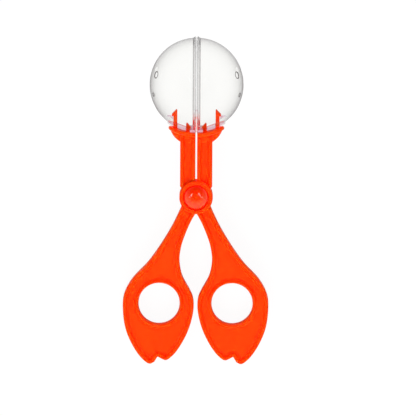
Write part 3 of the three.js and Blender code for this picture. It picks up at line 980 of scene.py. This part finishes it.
def rivet_shade(paint, place):
    """Where a rivet head gets painted shade, a deep orange: towards the ball, where its dome faces away from
    the key lamp, and all round its edge, by its groove.
    """
    radius = HEAD_HIGH.x
    offset = paint.vector("SUBTRACT", place, tuple(PIVOT))
    off_axis = paint.off_axis(offset, HINGE["axis"])
    along = paint.node("SeparateXYZ", {0: place}, 1)
    edge = paint.ramp(off_axis, *(share * radius for share in HEAD_EDGE_SHARES))
    return edge.larger(paint.ramp(along, *(PIVOT[1] + share * radius for share in HEAD_ALONG_SHARES)))


def orange_plastic(name, smoothest, shine, shade=None):
    """Moulded plastic: a little mottled, with a fine grain, and lit through by red light. Painted shade
    deepens it in corners and a painted red glow lights them. It is given the roughness of its smoothest
    places, its specular level, and where painted shade makes it deeper in place of the mottle."""
    finish = settings().finish
    material = bpy.data.materials.new(name)
    paint = Paint(material)
    place = paint.node("TexCoord", output="Object")
    cloud, grain = paint.noise(place, CLOUDS, 3), paint.noise(place, GRAIN, 2)
    # Ambient occlusion: painted shade deepens the orange in corners, and a painted glow lights them.
    open_air = paint.node("AmbientOcclusion", {"Distance": CORNER_REACH}, "AO", samples=16, only_local=True)
    tone = paint.mix(open_air, finish.deep, finish.orange)
    # Painted shade from the shade argument, or else the random mottle, deepens the orange.
    tone = paint.mix(shade(paint, place) if shade else finish.mottle * cloud, tone, finish.deep)
    bump = {"Strength": GRAIN_BUMP * smoothest, "Distance": 0.0001, "Height": grain}
    inputs = {
        "Base Color": tone,
        "Roughness": smoothest * (1 + CLOUD_ROUGH * cloud + GRAIN_ROUGH * grain),
        "IOR": PLASTIC_IOR,
        "Specular IOR Level": shine,
        "Subsurface Weight": 1.0,
        "Subsurface Radius": LIGHT_DEPTHS,
        "Subsurface Scale": 1.0,
        "Normal": paint.node("Bump", bump),
        # Painted glow in corners and grooves.
        "Emission Color": paint.mix(open_air, finish.glow, (0, 0, 0)),
        "Emission Strength": 1.0,
    }
    shader = paint.node("BsdfPrincipled", inputs, subsurface_method="RANDOM_WALK")
    paint.node("OutputMaterial", {"Surface": shader})
    return material


def shell_parts(paint, place):
    """The parts of a half ball, each 1 there and 0 elsewhere, by where a point lies from the ball's centre:
    how far off, how high along the tool, how deep out of its front face, how far from the split, and how far
    from the axes of the front vent and the small vent."""
    c = settings()
    along, frontward = (0, math.cos(TILT), math.sin(TILT)), (0, -math.sin(TILT), math.cos(TILT))
    centre = PIVOT + ball_middle() * np.array(along)
    outer, inner, width = SHELL_HIGH.x, SHELL_HIGH.x - c.shells.wall, c.shells.flange_width
    offset = paint.vector("SUBTRACT", place, tuple(centre))
    radius = paint.vector("LENGTH", offset, output=1)
    height = paint.vector("DOT_PRODUCT", offset, along, output=1)
    depth = paint.vector("DOT_PRODUCT", offset, frontward, output=1)
    x, y, z = (paint.node("SeparateXYZ", {0: offset}, k) for k in range(3))
    across = abs(x)
    on_the_right = paint.node("CombineXYZ", {0: across, 1: y, 2: z})
    axes = np.array([VENT_SHARES[0], GATE_VENT_SHARE]) @ np.array([(1, 0, 0), along, frontward])
    off_vent, off_gate_vent = (paint.off_axis(on_the_right, axis) for axis in axes.tolist())

    def part(name, value, size):
        return paint.ramp(value, *(share * size for share in PART_SHARES[name]))

    def at_depth(name):
        return paint.ramp(depth, *PART_DEPTHS[name])

    # Where painted grey shade rings the vents.
    vents = part("vent", off_vent, c.shells.vent) * at_depth("vent")
    ledge = part("ledge", height, outer) * part("ledge_face", radius, inner) * at_depth("ledge")
    leaning = height - SEAT_LEAN * across
    seat = part("seat", leaning, outer) * at_depth("seat")
    # Where the painted dark pink reflection of the cup lies at the flange's foot.
    foot = part("foot_side", across, width) * part("foot", height, outer)
    return SimpleNamespace(
        outside=part("outside", radius, outer),
        sides=part("sides", height, outer),
        crown=part("crown", height, outer),
        vents=vents.larger(part("gate_vent", off_gate_vent, c.shells.gate_vent)),
        frosted=ledge.larger(seat).larger(foot),
        # Where a painted reflection of the cup runs along the seat.
        line=seat * part("line", leaning, outer),
        foot=foot,
        flange=part("flange", across, width),
        flange_edge=part("flange_edge", across, width),
        flush=part("flush", height, outer),
    )


def thin_wall(paint, parts, facing, surface):
    """The wall, which doesn't bend what is seen through it. Only its outside reflects and takes painted grey
    shade: seen edge on, less so near the seat and the crown, and round the vents."""
    finish = settings().finish
    bright, dark = (
        paint.node("BsdfTransparent", {"Color": (*tint, 1)}) for tint in (finish.clear, finish.painted_edge_shade)
    )
    strength = SEAT_GREY + (1 - SEAT_GREY) * parts.sides - (1 - CROWN_GREY) * parts.crown
    edge_on = finish.wall_shade * strength * facing**WALL_FADE
    # The share of painted grey shade on the wall.
    grey = parts.outside * (LEAST_GREY + edge_on + finish.vent_shade * parts.vents)
    shine = paint.node("BsdfGlossy", {"Color": (1, 1, 1, 1), **surface})
    gloss = parts.outside * (LEAST_GLOSS + finish.wall_gloss * facing**GLOSS_FADE)
    return paint.blend(gloss, paint.blend(grey, bright, dark), shine)


def thick_flange(paint, parts, facing, surface):
    """The flange, which refracts. It takes painted grey shade edge on and towards its edge, and a painted
    reflection of the orange cup next to the cup.
    """
    finish = settings().finish
    grey = FLANGE_GREY + finish.flange_shade * facing**FLANGE_FADE + FLANGE_EDGE_GREY * parts.flange_edge
    tint = paint.mix(grey, finish.clear, finish.painted_edge_shade)
    inputs = {
        # A painted reflection of the orange cup on the flange next to it.
        "Base Color": paint.mix(parts.flush, tint, finish.flush),
        "IOR": PLASTIC_IOR,
        "Specular Tint": (0.35, 0.35, 0.35, 1),
        "Transmission Weight": 1.0,
        **surface,
    }
    return paint.node("BsdfPrincipled", inputs)


def frosted_seat(paint, parts):
    """The frosted seat, ledges and flange foot, with a painted reflection of the cup along the seat's line
    and a painted dark pink reflection of it at the foot, and a painted glow from a weak emission.
    """
    finish = settings().finish
    tone = paint.mix(FOOT_TINT * parts.foot, finish.frost, finish.foot)
    tone = paint.mix(parts.line, tone, finish.flush)
    # The emission is a painted glow that lightens the frost in its shade.
    inputs = {"Base Color": tone, "Roughness": 0.5, "Emission Color": tone, "Emission Strength": 0.2}
    return paint.node("BsdfPrincipled", inputs)


def clear_plastic():
    """Clear moulded plastic with faint waves and haze: a thin wall, a thick flange and a frosted seat. Light
    passes through it to what lies behind. Its grey edges, the orange cup's reflections in it and its seat's
    glow are painted."""
    finish = settings().finish
    material = bpy.data.materials.new("clear_plastic")
    paint = Paint(material)
    place = paint.node("TexCoord", output="Object")
    parts = shell_parts(paint, place)
    waves, haze = paint.noise(place, WAVES, 1), paint.noise(place, HAZE, 3)
    facing = paint.node("LayerWeight", {"Blend": 0.5}, "Facing")
    bump = paint.node("Bump", {"Strength": 0.05, "Distance": 0.0004, "Height": waves})
    surface = {"Roughness": finish.clear_rough * (1 + HAZE_ROUGH * haze), "Normal": bump}
    wall = thin_wall(paint, parts, facing, surface)
    clear = paint.blend(parts.flange, wall, thick_flange(paint, parts, facing, surface))
    whole = paint.blend(finish.frosting * parts.frosted, clear, frosted_seat(paint, parts))
    passing = paint.node("BsdfTransparent", {"Color": (*finish.passing, 1)})
    whole = paint.blend(paint.rays("Is Shadow Ray", "Is Diffuse Ray"), whole, passing)
    paint.node("OutputMaterial", {"Surface": whole})
    return material


def white_floor():
    """A white table that shows white to the camera and through clear plastic, and still takes the object's
    shadow."""
    material = bpy.data.materials.new("white_floor")
    paint = Paint(material)
    diffuse = paint.node("BsdfDiffuse", {"Color": (0.65, 0.65, 0.65, 1)})
    glow = paint.node("Emission", {"Color": (1, 1, 1, 1), "Strength": 1.05})
    seen = paint.rays("Is Camera Ray", "Is Transmission Ray")
    paint.node("OutputMaterial", {"Surface": paint.blend(FLOOR_GLOW * seen, diffuse, glow)})
    return material


def white_room(world):
    """Surroundings that are white behind the object, give a plain light, and show in gloss and in clear
    plastic as a pale horizon under a dark ceiling. In a world, Generated is the direction looked in."""
    stage = settings().stage
    paint = Paint(world)
    towards = paint.node("TexCoord", output="Generated")
    upwards = paint.node("SeparateXYZ", {0: towards}, 2)
    strengths = (
        (LOW_FILL - (LOW_FILL - HIGH_FILL) * paint.ramp(upwards, 0, 1)) * stage.fill,
        paint.ramp(upwards, *CEILING) * stage.horizon,
        1.0,
    )
    light, gloss, shown = (
        paint.node("Background", {"Color": (1, 1, 1, 1), "Strength": strength}) for strength in strengths
    )
    around = paint.blend(paint.rays("Is Glossy Ray", "Is Transmission Ray"), light, gloss)
    around = paint.blend(paint.rays("Is Camera Ray"), around, shown)
    paint.node("OutputWorld", {"Surface": around})


def area_lamp(name, watts, start, end, width, glossy):
    """A rectangular lamp that faces the hub, its long side from start to end. It shows in gloss or not."""
    start, end = Vector(start), Vector(end)
    data = bpy.data.lights.new(name, "AREA")
    data.shape = "RECTANGLE"
    data.size, data.size_y = (end - start).length, width
    data.energy = watts
    lamp = new_object(name, data)
    lamp.location = (start + end) / 2
    side = (end - start).normalized()
    back = lamp.location - Vector(PIVOT)
    back = (back - back.dot(side) * side).normalized()
    lamp.rotation_euler = Matrix((side, back.cross(side), back)).transposed().to_euler()
    lamp.visible_glossy = glossy
    lamp.visible_transmission = glossy


class CATCHER_OT_levers(bpy.types.Operator):
    """Model both orange levers, one moulding used twice"""

    bl_idname = "catcher.levers"
    bl_label = "Levers"

    def execute(self, context):
        finish = settings().finish
        material = orange_plastic("lever_plastic", finish.lever_rough, finish.lever_shine)
        front = lever("lever_front")
        rear = turned_over(new_object("lever_rear", front.data.copy()))
        lay_down(front, "front_lever", FRONT, material)
        lay_down(rear, "rear_lever", REAR, material)
        return {"FINISHED"}


class CATCHER_OT_rivet(bpy.types.Operator):
    """Model the two halves of the snap rivet"""

    bl_idname = "catcher.rivet"
    bl_label = "Rivet"

    def execute(self, context):
        finish = settings().finish
        material = orange_plastic("rivet_plastic", finish.rivet_rough, finish.rivet_shine, rivet_shade)
        button, cap = rivet()
        lay_down(button, "pivot_button", FRONT, material)
        lay_down(turned_over(cap), "pivot_cap", FRONT, material)
        return {"FINISHED"}


class CATCHER_OT_shells(bpy.types.Operator):
    """Model the two clear half balls"""

    bl_idname = "catcher.shells"
    bl_label = "Half balls"

    def execute(self, context):
        material = clear_plastic()
        lay_down(half_shell("half_ball_right", 1), "right_shell", FRONT, material)
        lay_down(half_shell("half_ball_left", -1), "left_shell", REAR, material)
        return {"FINISHED"}


class CATCHER_OT_stage(bpy.types.Operator):
    """Set up the camera, the lamps and the white floor"""

    bl_idname = "catcher.stage"
    bl_label = "Stage"

    def execute(self, context):
        c = settings()
        stage = c.stage
        half = stage.floor
        corners = [(-half, -half, 0), (half, -half, 0), (half, half, 0), (-half, half, 0)]
        floor = new_piece("floor", corners, [(0, 1, 2, 3)])
        floor.data.materials.append(white_floor())
        camera_data = bpy.data.cameras.new("camera")
        camera = new_object("camera", camera_data)
        face = PIVOT[2] + c.hub.half
        camera.location = (PIVOT[0] + stage.centre_x, PIVOT[1] + stage.centre_y, stage.height)
        camera.rotation_euler = (0, 0, stage.roll)
        camera_data.lens = camera_data.sensor_width * (stage.height - face) / stage.across
        camera_data.clip_end = 4 * stage.height
        context.scene.camera = camera
        for name, (watts, *rest) in LAMPS.items():
            area_lamp(name, getattr(stage, watts), *rest)
        context.scene.world = bpy.data.worlds.new("white_room")
        white_room(context.scene.world)
        context.scene.view_settings.view_transform = "Standard"
        return {"FINISHED"}


class CATCHER_PT_panel(bpy.types.Panel):
    """Lists the operators in the order in which they run"""

    bl_idname = "CATCHER_PT_panel"
    bl_label = "Insect catcher"
    bl_space_type = "VIEW_3D"
    bl_region_type = "UI"
    bl_category = "Catcher"

    def draw(self, context):
        for operator in OPERATORS:
            self.layout.operator(operator.bl_idname)


OPERATORS = (CATCHER_OT_levers, CATCHER_OT_rivet, CATCHER_OT_shells, CATCHER_OT_stage)
CLASSES = (
    CatcherGaps, CatcherPlates, CatcherArms, CatcherHandles, CatcherHub, CatcherCup, CatcherTallHook,
    CatcherShortHook, CatcherHooks, CatcherShells, CatcherFinish, CatcherStage, Catcher,
    *OPERATORS, CATCHER_PT_panel,
)


def register():
    for made in CLASSES:
        bpy.utils.register_class(made)
    bpy.types.Scene.catcher = PointerProperty(type=Catcher)


def unregister():
    del bpy.types.Scene.catcher
    for made in reversed(CLASSES):
        bpy.utils.unregister_class(made)


def main():
    register()
    bpy.ops.catcher.levers()
    bpy.ops.catcher.rivet()
    bpy.ops.catcher.shells()
    bpy.ops.catcher.stage()


if __name__ == "__main__":
    main()
